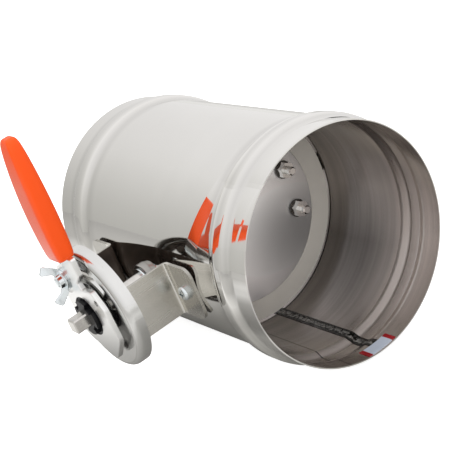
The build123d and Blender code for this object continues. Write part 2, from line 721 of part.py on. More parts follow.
def make_saddle_nuts():
    """Hexagonal nuts on the front of the blade."""
    near = BLADE_FACE + BOLT_WASHER_THICK
    nut = Pos(near, 0, 0) * Rot(Y=90) * hex_bar(BOLT_SIZE, BOLT_NUT_HEIGHT)
    nut -= extrude(blade_plane(near - 1) * Circle(BOLT_RADIUS + THREAD_FIT), BOLT_NUT_HEIGHT + 2)
    return Compound([place * nut for place in bolt_places()])


save("duct_body", make_duct_body())
save("seam_sealant", make_seam_sealant())
save("rim_label", make_rim_label())
near_bush = make_bush()
save("near_bush", near_bush)
save("far_bush", Rot(Z=180) * near_bush)
save("bracket", make_bracket())
save("bracket_screws", make_screws())
save("bracket_nuts", make_screw_nuts())
save("bracket_bush", make_bracket_bush())
save("dial_plate", make_dial_plate())
save("dial_rivets", make_rivets())
save("shaft", make_shaft())
save("shaft_clips", make_shaft_clips())
save("spacer_sleeve", make_spacer_sleeve())
save("blade_back_plate", make_blade_back_plate())
save("seal_ring", make_seal_ring())
save("blade_front_plate", make_blade_front_plate())
save("shaft_saddles", make_shaft_saddles())
save("saddle_bolts", make_saddle_bolts())
save("saddle_washers", make_saddle_washers())
save("saddle_nuts", make_saddle_nuts())
save("lever_plate", make_lever_plate())
save("hub_insert", make_hub_insert())
save("grip", make_grip())
save("lock_bolt", make_lock_bolt())
save("lock_spacer", make_lock_spacer())
save("lock_washer", make_lock_washer())
save("wing_nut", make_wing_nut())
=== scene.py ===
import json
import math

import bpy
from bpy.props import FloatProperty, FloatVectorProperty, PointerProperty
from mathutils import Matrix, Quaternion, Vector


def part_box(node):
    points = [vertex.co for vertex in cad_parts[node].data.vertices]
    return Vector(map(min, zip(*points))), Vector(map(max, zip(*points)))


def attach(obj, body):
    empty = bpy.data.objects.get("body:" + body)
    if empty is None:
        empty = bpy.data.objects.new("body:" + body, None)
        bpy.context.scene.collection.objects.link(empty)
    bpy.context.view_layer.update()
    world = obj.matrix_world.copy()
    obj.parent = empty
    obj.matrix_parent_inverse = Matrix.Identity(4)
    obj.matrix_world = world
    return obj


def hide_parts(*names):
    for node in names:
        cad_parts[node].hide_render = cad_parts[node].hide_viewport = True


bl_info = {
    "name": "Duct damper",
    "version": (1, 0, 0),
    "blender": (4, 5, 0),
    "location": "View3D > Sidebar > Damper",
    "description": "Dresses the packed duct damper: polished tube, blade, pressed lever, orange grip",
    "category": "Add Mesh",
}

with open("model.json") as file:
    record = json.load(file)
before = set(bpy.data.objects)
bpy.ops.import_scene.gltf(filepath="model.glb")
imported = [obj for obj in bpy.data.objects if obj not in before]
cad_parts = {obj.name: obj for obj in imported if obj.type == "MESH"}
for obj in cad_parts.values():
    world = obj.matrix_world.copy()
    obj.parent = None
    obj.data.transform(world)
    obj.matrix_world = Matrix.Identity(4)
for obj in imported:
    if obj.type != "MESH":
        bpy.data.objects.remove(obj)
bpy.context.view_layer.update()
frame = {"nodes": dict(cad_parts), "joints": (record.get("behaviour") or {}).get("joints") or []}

MM = 0.001
SHAFT_X = frame["joints"][0]["pos_m"][0]
MOUTH_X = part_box("duct_body")[1][0]
REAR_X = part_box("duct_body")[0][0]
FLOOR_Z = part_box("duct_body")[0][2]


class DamperSizes(bpy.types.PropertyGroup):
    """Sizes that scene pieces take besides those of the frame."""

    tube_radius: FloatProperty(
        name="Tube radius", description="Outside radius of the plain tube", default=75.0 * MM, unit="LENGTH"
    )
    wall: FloatProperty(
        name="Wall", description="Thickness of the tube's sheet", default=0.8 * MM, unit="LENGTH"
    )
    bead_height: FloatProperty(
        name="Bead height", description="Rise of each swaged bead", default=2.8 * MM, unit="LENGTH"
    )
    bead_width: FloatProperty(
        name="Bead width", description="Width of each bead at its foot", default=20.5 * MM, unit="LENGTH"
    )


class DamperColours(bpy.types.PropertyGroup):
    """Colours of the main finishes."""

    steel: FloatVectorProperty(
        name="Polished steel", description="Outside of the tube", subtype="COLOR",
        default=(0.80, 0.79, 0.765),
    )
    inside: FloatVectorProperty(
        name="Inside steel", description="Inside of the tube", subtype="COLOR",
        default=(0.66, 0.60, 0.57),
    )
    zinc: FloatVectorProperty(
        name="Bright plating", description="Plating of the dial", subtype="COLOR",
        default=(0.76, 0.76, 0.745),
    )
    grip: FloatVectorProperty(
        name="Grip", description="Moulded grip", subtype="COLOR",
        default=(0.88, 0.082, 0.003),
    )


def sizes():
    """The add-on's size settings."""
    return bpy.context.scene.damper_sizes


def colours():
    """The add-on's colour settings."""
    return bpy.context.scene.damper_colours


# Modelling helpers


def start_clean():
    """Leave edit mode and deselect everything."""
    if bpy.context.object and bpy.context.object.mode != "OBJECT":
        bpy.ops.object.mode_set(mode="OBJECT")
    bpy.ops.object.select_all(action="DESELECT")


def keep_only(obj):
    """Select one object and make it active."""
    start_clean()
    obj.select_set(True)
    bpy.context.view_layer.objects.active = obj


def settle(obj, name):
    """Name the object and move its place into its mesh."""
    keep_only(obj)
    obj.name = name
    obj.data.name = name
    bpy.ops.object.transform_apply(location=True, rotation=True, scale=True)
    return obj


def tidy_mesh(obj, merge=1e-6):
    """Merge doubles and point every face outwards."""
    keep_only(obj)
    bpy.ops.object.mode_set(mode="EDIT")
    bpy.ops.mesh.select_all(action="SELECT")
    bpy.ops.mesh.remove_doubles(threshold=merge)
    bpy.ops.mesh.normals_make_consistent(inside=False)
    bpy.ops.object.mode_set(mode="OBJECT")


def smooth(obj, degrees):
    """Smooth shading that keeps edges sharper than an angle."""
    keep_only(obj)
    bpy.ops.object.shade_smooth_by_angle(angle=math.radians(degrees))


def pick(obj, kind, test):
    """Enter edit mode with only the faces or edges selected that pass a test of their place."""
    keep_only(obj)
    bpy.ops.object.mode_set(mode="EDIT")
    bpy.ops.mesh.select_mode(type=kind)
    bpy.ops.mesh.select_all(action="DESELECT")
    bpy.ops.object.mode_set(mode="OBJECT")
    if kind == "FACE":
        for face in obj.data.polygons:
            face.select = test(face.center, face.normal)
    else:
        for edge in obj.data.edges:
            edge.select = test(*[obj.data.vertices[number].co for number in edge.vertices])
    bpy.ops.object.mode_set(mode="EDIT")


def apply_modifiers(obj):
    """Apply every modifier on the object in order."""
    keep_only(obj)
    for modifier in list(obj.modifiers):
        bpy.ops.object.modifier_apply(modifier=modifier.name)


def cut(obj, cutter):
    """Cut one object out of another and delete the cutter."""
    modifier = obj.modifiers.new("cut", "BOOLEAN")
    modifier.operation = "DIFFERENCE"
    modifier.solver = "EXACT"
    modifier.object = cutter
    apply_modifiers(obj)
    bpy.data.objects.remove(cutter)


def rounded_line(points, radii, steps=8):
    """Stations along a line whose inner corners are arcs of the given radii."""
    stations = [points[0]]
    for number, radius in enumerate(radii, start=1):
        corner = Vector(points[number])
        back = (Vector(points[number - 1]) - corner).normalized()
        ahead = (Vector(points[number + 1]) - corner).normalized()
        half = back.angle(ahead) / 2
        reach = radius / math.tan(half)
        middle = corner + (back + ahead).normalized() * (radius / math.sin(half))
        first = corner + back * reach - middle
        last = corner + ahead * reach - middle
        for step in range(steps + 1):
            spoke = (first * (1 - step / steps) + last * (step / steps)).normalized() * radius
            stations.append(tuple(middle + spoke))
    stations.append(points[-1])
    return stations


def lathe(name, stations, steps):
    """Closed ring about the duct's axis: one turn of a closed line of (along, radius) stations."""
    start_clean()
    along, radius = stations[0]
    turn = (0, math.radians(90), 0)
    bpy.ops.mesh.primitive_circle_add(vertices=steps, radius=radius, location=(along, 0, 0), rotation=turn)
    ring = settle(bpy.context.object, name)
    bpy.ops.object.mode_set(mode="EDIT")
    bpy.ops.mesh.select_all(action="SELECT")
    for next_along, next_radius in list(stations[1:]) + [stations[0]]:
        bpy.ops.mesh.extrude_region_move(TRANSFORM_OT_translate={"value": (next_along - along, 0, 0)})
        scale = next_radius / radius
        bpy.ops.transform.resize(value=(1, scale, scale), center_override=(next_along, 0, 0))
        along, radius = next_along, next_radius
    bpy.ops.object.mode_set(mode="OBJECT")
    tidy_mesh(ring, merge=5e-6)
    return ring


def bar(name, radius, start, end, steps=48):
    """Round bar between two points."""
    start, end = Vector(start), Vector(end)
    start_clean()
    bpy.ops.mesh.primitive_cylinder_add(vertices=steps, radius=radius, depth=(end - start).length)
    made = bpy.context.object
    made.rotation_mode = "QUATERNION"
    made.rotation_quaternion = (end - start).to_track_quat("Z", "Y")
    made.location = (start + end) / 2
    return settle(made, name)


# Shader groups


def new_group(name, inputs, outputs):
    """Empty shader group with named sockets; inputs are (name, socket type, default)."""
    group = bpy.data.node_groups.new(name, "ShaderNodeTree")
    for label, kind, default in inputs:
        socket = group.interface.new_socket(label, in_out="INPUT", socket_type=kind)
        if default is not None:
            socket.default_value = default
    for label, kind in outputs:
        group.interface.new_socket(label, in_out="OUTPUT", socket_type=kind)
    return group, group.nodes.new("NodeGroupInput"), group.nodes.new("NodeGroupOutput")


def add(tree, kind, **settings):
    """New node with its settings; a socket's value is given by its number, as in1=2.0."""
    node = tree.nodes.new(kind)
    for label, value in settings.items():
        if label.startswith("in") and label[2:].isdigit():
            node.inputs[int(label[2:])].default_value = value
        else:
            setattr(node, label, value)
    return node


def fill_ramp(node, stops):
    """Give a colour ramp its (place, colour) stops."""
    for number, (place, colour) in enumerate(stops):
        stop = node.color_ramp.elements[number] if number < 2 else node.color_ramp.elements.new(place)
        stop.position = place
        stop.color = (*colour, 1)


def shade(colour, factor):
    """Colour darkened by a factor."""
    return tuple(part * factor for part in colour)


# Noise levels between which a streak goes from nothing to full, and the broad scale as a share of the fine
STREAK_LEVELS = (0.32, 0.68)
BROAD_SHARE = 0.12


def make_streaks_group():
    """Fine scratches and broader bands that follow a stretched vector."""
    inputs = [
        ("Vector", "NodeSocketVector", None),
        ("Fine Scale", "NodeSocketFloat", 900.0),
        ("Broad Scale", "NodeSocketFloat", 90.0),
    ]
    outputs = [("Fine", "NodeSocketFloat"), ("Broad", "NodeSocketFloat")]
    group, start, end = new_group("brushed streaks", inputs, outputs)
    for label, scale, detail in (("Fine", "Fine Scale", 4.0), ("Broad", "Broad Scale", 3.0)):
        noise = add(group, "ShaderNodeTexNoise")
        noise.inputs["Detail"].default_value = detail
        noise.inputs["Roughness"].default_value = 0.65
        group.links.new(start.outputs["Vector"], noise.inputs["Vector"])
        group.links.new(start.outputs[scale], noise.inputs["Scale"])
        spread = add(group, "ShaderNodeMapRange")
        spread.inputs["From Min"].default_value = STREAK_LEVELS[0]
        spread.inputs["From Max"].default_value = STREAK_LEVELS[1]
        group.links.new(noise.outputs["Fac"], spread.inputs["Value"])
        group.links.new(spread.outputs["Result"], end.inputs[label])
    return group


def make_clouds_group():
    """Soft uneven patches, such as smudges and handling marks."""
    inputs = [
        ("Vector", "NodeSocketVector", None),
        ("Scale", "NodeSocketFloat", 30.0),
        ("Contrast", "NodeSocketFloat", 0.5),
    ]
    group, start, end = new_group("soft clouds", inputs, [("Mask", "NodeSocketFloat")])
    noise = add(group, "ShaderNodeTexNoise")
    noise.inputs["Detail"].default_value = 5.0
    noise.inputs["Distortion"].default_value = 0.4
    group.links.new(start.outputs["Vector"], noise.inputs["Vector"])
    group.links.new(start.outputs["Scale"], noise.inputs["Scale"])
    low = add(group, "ShaderNodeMath", operation="MULTIPLY_ADD", in1=0.4, in2=0.1)
    high = add(group, "ShaderNodeMath", operation="MULTIPLY_ADD", in1=-0.4, in2=0.9)
    spread = add(group, "ShaderNodeMapRange")
    group.links.new(start.outputs["Contrast"], low.inputs[0])
    group.links.new(start.outputs["Contrast"], high.inputs[0])
    group.links.new(low.outputs[0], spread.inputs["From Min"])
    group.links.new(high.outputs[0], spread.inputs["From Max"])
    group.links.new(noise.outputs["Fac"], spread.inputs["Value"])
    group.links.new(spread.outputs["Result"], end.inputs["Mask"])
    return group


GROUPS = {}

# Sockets of a colour mix node
MIX_FACTOR = 0
MIX_FIRST = 6
MIX_SECOND = 7
MIX_RESULT = 2


class Finish:
    """A material under construction: its tree, its shader and short ways to wire them."""

    def __init__(self, name, **values):
        self.material = bpy.data.materials.new(name)
        self.material.use_nodes = True
        self.tree = self.material.node_tree
        self.shader = self.tree.nodes["Principled BSDF"]
        for label, value in values.items():
            self.shader.inputs[label.replace("_", " ")].default_value = value
        coords = add(self.tree, "ShaderNodeTexCoord")
        self.place = coords.outputs["Object"]
        self.facing = coords.outputs["Normal"]

    def mapped(self, scale, move=(0, 0, 0)):
        """Object coordinates, stretched and moved."""
        node = add(self.tree, "ShaderNodeMapping")
        node.inputs["Scale"].default_value = scale
        node.inputs["Location"].default_value = move
        self.tree.links.new(self.place, node.inputs["Vector"])
        return node.outputs["Vector"]

    def group(self, key, vector, **values):
        """A shared effect placed in this material with its own values."""
        node = add(self.tree, "ShaderNodeGroup", node_tree=GROUPS[key])
        self.tree.links.new(vector, node.inputs["Vector"])
        for label, value in values.items():
            node.inputs[label.replace("_", " ")].default_value = value
        return node.outputs

    def clouds(self, scale, contrast, stretch=(1, 1, 1)):
        """Mask of soft uneven patches."""
        return self.group("clouds", self.mapped(stretch), Scale=scale, Contrast=contrast)["Mask"]

    def mix(self, mask, low, high, blend="MIX"):
        """Colour between two colours or sockets by a mask."""
        node = add(self.tree, "ShaderNodeMix", data_type="RGBA", blend_type=blend)
        self.feed(mask, node.inputs[MIX_FACTOR])
        self.feed(low, node.inputs[MIX_FIRST])
        self.feed(high, node.inputs[MIX_SECOND])
        return node.outputs[MIX_RESULT]

    def lay(self, ground, mask, strength, over):
        """Colour laid over another where a mask is 1, at a given strength."""
        return self.mix(self.maths("MULTIPLY", mask, strength), ground, over)

    def span(self, mask, low, high, start=0.0, end=1.0):
        """Value between two values as a mask goes from start to end."""
        node = add(self.tree, "ShaderNodeMapRange")
        node.inputs["From Min"].default_value = start
        node.inputs["From Max"].default_value = end
        self.tree.links.new(mask, node.inputs["Value"])
        self.feed(low, node.inputs["To Min"])
        self.feed(high, node.inputs["To Max"])
        return node.outputs["Result"]

    def ramp(self, value, stops):
        """Value along a colour ramp given by (place, grey) stops."""
        node = add(self.tree, "ShaderNodeValToRGB")
        fill_ramp(node, [(place, (grey, grey, grey)) for place, grey in stops])
        self.feed(value, node.inputs["Fac"])
        return node.outputs["Color"]

    def tone_at(self, value, tones, start, end, top=1.0, unit=1.0):
        """Tone where a value stands in (place, tone) pairs, as a share of the top tone."""
        stops = [((place * unit - start) / (end - start), tone / top) for place, tone in tones]
        return self.ramp(self.span(value, 0.0, 1.0, start, end), stops)

    def times(self, colour, grey, scale=1.0):
        """Colour multiplied by a grey and a number."""
        return self.mix(1.0, colour, self.maths("MULTIPLY", grey, scale), blend="MULTIPLY")

    def band(self, value, low, high, soft):
        """1 between two values, falling to 0 over a soft edge outside them."""
        rise = self.span(value, 0.0, 1.0, low - soft, low)
        fall = self.span(value, 1.0, 0.0, high, high + soft)
        return self.maths("MULTIPLY", rise, fall)

    def maths(self, operation, first, second=0.0):
        """Result of a maths node."""
        node = add(self.tree, "ShaderNodeMath", operation=operation)
        self.feed(first, node.inputs[0])
        self.feed(second, node.inputs[1])
        return node.outputs[0]

    def squares(self, first, second):
        """Sum of the squares of two values."""
        return self.maths("ADD", self.maths("MULTIPLY", first, first), self.maths("MULTIPLY", second, second))

    def vector(self, operation, first, second=None):
        """Outputs of a vector maths node; the second value is a socket, three numbers or nothing."""
        node = add(self.tree, "ShaderNodeVectorMath", operation=operation)
        self.tree.links.new(first, node.inputs[0])
        if isinstance(second, bpy.types.NodeSocket):
            self.tree.links.new(second, node.inputs[1])
        elif second is not None:
            node.inputs[1].default_value = second
        return node.outputs

    def feed(self, source, socket):
        """Link a socket, or set a plain value."""
        if isinstance(source, bpy.types.NodeSocket):
            self.tree.links.new(source, socket)
        elif isinstance(source, (tuple, list)) and len(source) == 3:
            socket.default_value = (*source, 1.0)
        else:
            socket.default_value = source

    def bump(self, height, strength, distance, under=None):
        """Feed a height into the shader's normal, over another bump if there is one."""
        node = add(self.tree, "ShaderNodeBump")
        node.inputs["Strength"].default_value = strength
        node.inputs["Distance"].default_value = distance
        self.tree.links.new(height, node.inputs["Height"])
        if under:
            self.tree.links.new(under, node.inputs["Normal"])
        self.tree.links.new(node.outputs["Normal"], self.shader.inputs["Normal"])
        return node.outputs["Normal"]

    def axes(self, source=None):
        """The three parts of a vector, or else of the object coordinates."""
        node = add(self.tree, "ShaderNodeSeparateXYZ")
        self.tree.links.new(source or self.place, node.inputs["Vector"])
        return node.outputs

    def turn_about_duct(self):
        """Angle about the duct's axis in degrees, from -180 to 180, with -90 at the bottom."""
        parts = self.axes()
        return self.maths("MULTIPLY", self.maths("ARCTAN2", parts["Z"], parts["Y"]), 180 / math.pi)

    def colour(self, source):
        """Feed the base colour."""
        self.feed(source, self.shader.inputs["Base Color"])

    def rough(self, source):
        """Feed the roughness."""
        self.feed(source, self.shader.inputs["Roughness"])


def outward_mask(paint, centre=(0.0, 0.0, 0.0), weights=(0.0, 1.0, 1.0), limit=-MM):
    """1 where a face looks away from a centre, 0 where it looks at it; a zero weight drops a direction."""
    shift = paint.vector("SUBTRACT", paint.place, centre)["Vector"]
    flat = paint.vector("MULTIPLY", shift, weights)["Vector"]
    dot = paint.vector("DOT_PRODUCT", flat, paint.facing)["Value"]
    return paint.maths("GREATER_THAN", dot, limit)


# Painted shade: dark brown on the sides of pressed sheet that face each other; the darker tone also draws the
# seam's line inside
SHADE_AND_SEAM_DARK = (0.050, 0.038, 0.031)
SHADE_BROWN = (0.100, 0.076, 0.062)

# Painted reflections and highlights on the outside, as a tone by mm along the duct, and the largest factor
# that it may reach
REFLECTION_BANDS = (
    (-225, 0.98), (-213, 0.98), (-209, 0.84), (-202, 0.87), (-197, 0.95), (-192, 1.12), (-188, 0.93),
    (-184, 0.9), (-178, 1.0), (-43, 1.0), (-38, 0.88), (-34, 0.94), (-30, 1.2), (-26, 0.9), (-21, 1.06),
    (-17, 0.86), (-13, 1.0), (-6, 1.04),
)
REFLECTION_BANDS_TOP = 1.25
# Grey of the painted shade towards the rear
REAR_SHADE_GREY = (0.30, 0.29, 0.26)

# Painted shade inside, as a tone by mm from the shaft towards either mouth
DEPTH_SHADE = (
    (13.5, 0.42), (35.5, 0.45), (50.5, 0.54), (65.5, 0.70), (77.5, 0.90), (93.5, 1.05), (106.5, 1.25),
    (114.5, 1.35),
)
DEPTH_SHADE_TOP = 1.5

# Painted reflections and shade inside near the blade, as a tone by degrees about the duct's axis
ROUND_REFLECTION = (
    (-112, 0.72), (-82, 0.76), (-67, 0.62), (-52, 0.5), (-37, 0.42), (-22, 0.7), (-7, 1.0), (7, 0.9),
    (22, 0.72), (37, 0.68),
)
ROUND_START = -120.0
ROUND_END = 60.0
ROUND_GAIN = 1.25

# Painted light on the front bead's ramp inside, and the degrees about the axis where it is strongest
SWAGE = (-34.5 * MM, -29.5 * MM)
SWAGE_LIGHT_ANGLES = (-115.0, -35.0)
SWAGE_LIGHT = (0.96, 0.90, 0.86)
SCRATCH_PALE = (0.92, 0.90, 0.87)

# Degrees about the axis of the seam's line, of the painted light on the underside and of the painted dark
# reflection on the side of the front end
SEAM = (-111.6, -111.0)
UNDER_LIGHT_ANGLES = (-158.0, -112.0)
SIDE_REFLECTION_ANGLES = (170.0, 200.0)

# Along the duct: where the painted shade greys the outside to the rear, where the painted light pales the
# underside and where the painted dark reflection greys the side
REAR_SHADE_FADE = (REAR_X, SHAFT_X + 40 * MM)
UNDER_LIGHT_FADE = (-42 * MM, -30 * MM)
SIDE_REFLECTION_FADE = (-17 * MM, -14 * MM)

# Distances from the shaft over which the painted tone by degrees fades out inside
BLADE_FADE = (55 * MM, 87 * MM)


def shiny_outside(paint, along, angle, smudges):
    """Colour outside: painted shade towards the rear, painted reflection bands along the duct, painted light
    on the front underside and a painted dark reflection on the handle's side of the front end.
    """
    steel = tuple(colours().steel)
    shiny = paint.mix(smudges, steel, shade(steel, 0.97))
    # Painted shade: greyer towards the rear
    rear = paint.span(along, 0.16, 0.0, *REAR_SHADE_FADE)
    shiny = paint.mix(rear, shiny, REAR_SHADE_GREY)
    # Painted reflections and highlights: bands of lighter and darker tone along the duct
    reflection_bands = paint.tone_at(along, REFLECTION_BANDS, REAR_X, MOUTH_X, REFLECTION_BANDS_TOP, MM)
    shiny = paint.times(shiny, reflection_bands, REFLECTION_BANDS_TOP)
    # Painted light: the underside of the front end paler
    under = paint.band(angle, *UNDER_LIGHT_ANGLES, 12.0)
    under = paint.maths("MULTIPLY", under, paint.span(along, 0.0, 1.0, *UNDER_LIGHT_FADE))
    shiny = paint.mix(under, shiny, paint.times(shiny, 1.22))
    # Painted reflection: a darker patch on the handle's side of the front end
    beside = paint.band(paint.maths("ABSOLUTE", angle), *SIDE_REFLECTION_ANGLES, 6.0)
    beside = paint.maths("MULTIPLY", beside, paint.span(along, 0.0, 1.0, *SIDE_REFLECTION_FADE))
    return paint.mix(beside, shiny, paint.times(shiny, 0.7))


def dull_inside(paint, along, angle, rings, swage):
    """Colour inside: painted shade deepening with depth, painted reflections and shade by degrees near the
    blade, streaks, patches, scratches, painted light on the bead's ramp, and the seam.
    """
    from_shaft = paint.maths("ABSOLUTE", paint.maths("SUBTRACT", along, SHAFT_X))
    # Painted shade: darker deeper inside, away from the mouths
    depth = paint.tone_at(from_shaft, DEPTH_SHADE, 0.0, MOUTH_X - SHAFT_X, DEPTH_SHADE_TOP, MM)
    # Painted reflections and shade by degrees near the blade
    round_reflection = paint.tone_at(angle, ROUND_REFLECTION, ROUND_START, ROUND_END)
    near_blade = paint.span(from_shaft, 1.0, 0.0, *BLADE_FADE)
    dull = paint.times(tuple(colours().inside), depth, DEPTH_SHADE_TOP)
    dull = paint.mix(near_blade, dull, paint.times(dull, round_reflection, ROUND_GAIN))
    streaks = paint.maths("MULTIPLY", rings["Broad"], 0.55)
    dull = paint.mix(streaks, paint.times(dull, 0.86), paint.times(dull, 1.5))
    dull = paint.lay(dull, paint.clouds(26.0, 0.4), 0.3, paint.times(dull, 0.72))
    scratch = paint.maths("GREATER_THAN", paint.maths("MULTIPLY", rings["Fine"], rings["Broad"]), 0.84)
    dull = paint.lay(dull, scratch, 0.3, SCRATCH_PALE)
    # Painted light on the inside of the bead's ramp
    dull = paint.lay(dull, swage, 0.8, SWAGE_LIGHT)
    return paint.lay(dull, paint.band(angle, *SEAM, 0.25), 0.75, SHADE_AND_SEAM_DARK)


def tube_finish():
    """Polished outside with ripples beside the bead, duller inside with rings left by the rolls."""
    paint = Finish("polished tube", Metallic=1.0)
    outside = outward_mask(paint)
    rings = paint.group("streaks", paint.mapped((1, 0.012, 0.012)), Fine_Scale=1500.0, Broad_Scale=130.0)
    smudges = paint.clouds(18.0, 0.6)
    along = paint.axes()["X"]
    angle = paint.turn_about_duct()
    # Painted light on the bead's ramp, strongest over these degrees
    swage_light_band = paint.band(angle, *SWAGE_LIGHT_ANGLES, 45.0)
    swage = paint.maths("MULTIPLY", paint.band(along, *SWAGE, 2.2 * MM), paint.span(swage_light_band, 0.25, 1.0))
    dull = dull_inside(paint, along, angle, rings, swage)
    shiny = shiny_outside(paint, along, angle, smudges)
    paint.colour(paint.mix(outside, dull, shiny))
    rough_inside = paint.span(rings["Fine"], 0.17, 0.26)
    rough_inside = paint.maths("ADD", rough_inside, paint.maths("MULTIPLY", swage, 0.25))
    paint.rough(paint.span(outside, rough_inside, paint.span(smudges, 0.03, 0.07)))
    height = paint.maths("MULTIPLY", rings["Fine"], paint.span(outside, 0.3, 0.04))
    fine = paint.bump(height, 0.12, 0.0001)
    paint.bump(paint.maths("MULTIPLY", ripples(paint), outside), 1.0, 1.0, fine)
    return paint.material


# Ripples: start and end along the duct, height where they begin, steepness per metre, lean per height; mm
RIPPLES = (
    (-57.0, -44.5, 23.5, 6.4, 0.55),
    (-41.5, -37.0, 36.0, 8.0, 0.25),
    (-10.0, -8.0, 32.0, 3.5, 0.3),
)
RIPPLE_LEVEL = 38.0
RIPPLE_TOP = 76.0
RIPPLE_DROP = 18.0


def ripples(paint):
    """Height in metres of the hollows that the rolls leave beside the front bead, steeper further up."""
    parts = paint.axes()
    up = parts["Z"]
    total = 0.0
    for start, end, foot, rate, lean in RIPPLES:
        sheared = paint.maths("SUBTRACT", parts["X"], paint.maths("MULTIPLY", up, lean))
        shift = RIPPLE_LEVEL * lean
        fall = paint.span(sheared, 0.0, (end - start) * MM, (start - shift) * MM, (end - shift) * MM)
        rise = paint.maths("MULTIPLY", paint.maths("SUBTRACT", up, foot * MM), rate)
        drop = paint.maths("MULTIPLY", paint.maths("SUBTRACT", RIPPLE_TOP * MM, up), RIPPLE_DROP)
        steep = paint.maths("MAXIMUM", paint.maths("MINIMUM", rise, drop), 0.0)
        total = paint.maths("ADD", total, paint.maths("MULTIPLY", fall, steep))
    return paint.maths("MULTIPLY", total, -1.0)


# Half width of the label's pale field in degrees, how far its middle is lowered, and the label's tones
LABEL_FIELD = 6.4
LABEL_DROP = 2 * MM
LABEL_FILM = ((0.48, 0.53, 0.62), (0.41, 0.46, 0.54))
LABEL_RED = ((0.30, 0.007, 0.012), (0.22, 0.005, 0.010))


def label_finish():
    """Pale blue film with a dark red bar at each end."""
    paint = Finish("label film", Roughness=0.25)
    low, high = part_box("rim_label")
    middle = math.degrees(math.atan2((low[2] + high[2]) / 2 - LABEL_DROP, (low[1] + high[1]) / 2))
    field = paint.band(paint.turn_about_duct(), middle - LABEL_FIELD, middle + LABEL_FIELD, 0.15)
    clouds = paint.clouds(120.0, 0.4)
    paint.colour(paint.mix(field, paint.mix(clouds, *LABEL_RED), paint.mix(clouds, *LABEL_FILM)))
    paint.bump(clouds, 0.1, 0.0002)
    return paint.material


# Share of the sealant's width that its ridge takes to either side, and the sealant's tones with the grey of
# its painted glints
RIDGE_SHARE = 0.35
SEALANT_BLACK = (0.004, 0.004, 0.003)
SEALANT_GREY = (0.075, 0.070, 0.063)
SEALANT_PAINTED_GLINT = (0.35, 0.34, 0.32)


def sealant_finish():
    """Black sealant with a lumpy skin and small painted glints."""
    paint = Finish("seam sealant", Specular_IOR_Level=0.6)
    low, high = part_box("seam_sealant")
    middle = math.degrees(math.atan2(low[2], (low[1] + high[1]) / 2))
    ridge_half = math.degrees((high[1] - low[1]) / 2 / -low[2]) * RIDGE_SHARE
    lumps = paint.clouds(120.0, 1.0, stretch=(0.6, 1, 1))
    grain = paint.clouds(420.0, 1.0)
    angle = paint.turn_about_duct()
    ridge = paint.band(angle, middle - ridge_half, middle + ridge_half, ridge_half)
    tone = paint.mix(paint.maths("MULTIPLY", lumps, ridge), SEALANT_BLACK, SEALANT_GREY)
    # Painted glints: pale specks on the ridge
    painted_glint = paint.maths("MULTIPLY", paint.maths("GREATER_THAN", grain, 0.9), ridge)
    paint.colour(paint.lay(tone, painted_glint, 0.5, SEALANT_PAINTED_GLINT))
    paint.rough(paint.span(grain, 0.16, 0.4))
    height = paint.maths("ADD", paint.maths("MULTIPLY", ridge, 0.8), paint.maths("MULTIPLY", lumps, 0.5))
    paint.bump(paint.maths("ADD", height, paint.maths("MULTIPLY", grain, 0.12)), 1.0, 0.0016)
    return paint.material


# Painted highlight on a bracket's bends, and how far a painted shade spot reaches, with the share for each
# direction
FOLD_HIGHLIGHT = (0.90, 0.88, 0.82)
SHADE_SPOT_REACH = 45.0 * MM
SHADE_SPOT_STRETCH = (1.0, 1.0, 1.5)


def brushed_finish(
    name, colour, stretch, roughness, fine=1400.0, contrast=0.12, bump=0.1, shaded=None, domed=0.0,
    fold_highlights=None, hollow=None,
):
    """Sheet metal with brush lines along the axis that the stretch leaves long, dark on its shaded side, with
    painted highlights on its bends and a painted shade spot where asked.
    """
    paint = Finish(name, Metallic=1.0)
    lines = paint.group("streaks", paint.mapped(stretch), Fine_Scale=fine, Broad_Scale=fine * BROAD_SHARE)
    tone = paint.mix(lines["Broad"], shade(colour, 1 - contrast), colour)
    tone = paint.lay(tone, paint.clouds(60.0, 0.3), contrast * 2, shade(colour, 0.8))
    if fold_highlights:
        # Painted highlight along the bends
        beside = paint.maths("ABSOLUTE", paint.maths("SUBTRACT", paint.axes()["X"], SHAFT_X))
        tone = paint.lay(tone, paint.band(beside, *fold_highlights, 1.0 * MM), 0.6, FOLD_HIGHLIGHT)
    if hollow:
        # Painted shade: darkest at the given centre
        tone = shade_spot_tone(paint, tone, hollow)
    shade_inside(paint, tone, shaded)
    paint.rough(paint.span(lines["Broad"], roughness * 0.9, roughness * 1.1))
    crown = dome(paint, domed)
    if bump:
        paint.bump(lines["Fine"], bump, 0.0001, crown)
    return paint.material


def shade_spot_tone(paint, tone, centre):
    """Painted shade: colour that is darkest at a centre and pales outwards, faster up and down than across.
    """
    shift = paint.vector("SUBTRACT", paint.place, centre)["Vector"]
    stretch = paint.vector("MULTIPLY", shift, SHADE_SPOT_STRETCH)["Vector"]
    square = paint.vector("DOT_PRODUCT", stretch, stretch)["Value"]
    return paint.times(tone, paint.span(square, 0.84, 1.46, 0.0, SHADE_SPOT_REACH ** 2))


def dome(paint, rise):
    """Slight crown of a pressed disc, as a bump whose slope grows from the duct's axis."""
    if not rise:
        return None
    parts = paint.axes()
    square = paint.squares(parts["Y"], parts["Z"])
    return paint.bump(paint.maths("MULTIPLY", square, -rise), 1.0, 1.0)


def shade_inside(paint, tone, shaded):
    """Feed the colour, with painted shade in dull dark brown where a pressed sheet looks at its own inside.
    """
    if shaded is None:
        paint.colour(tone)
        return
    outside = outward_mask(paint, *shaded)
    # Painted shade: dark brown patches, less metallic, where the face looks inward
    paint.colour(paint.mix(outside, paint.mix(paint.clouds(50.0, 0.5), SHADE_AND_SEAM_DARK, SHADE_BROWN), tone))
    paint.feed(paint.span(outside, 0.35, 1.0), paint.shader.inputs["Metallic"])


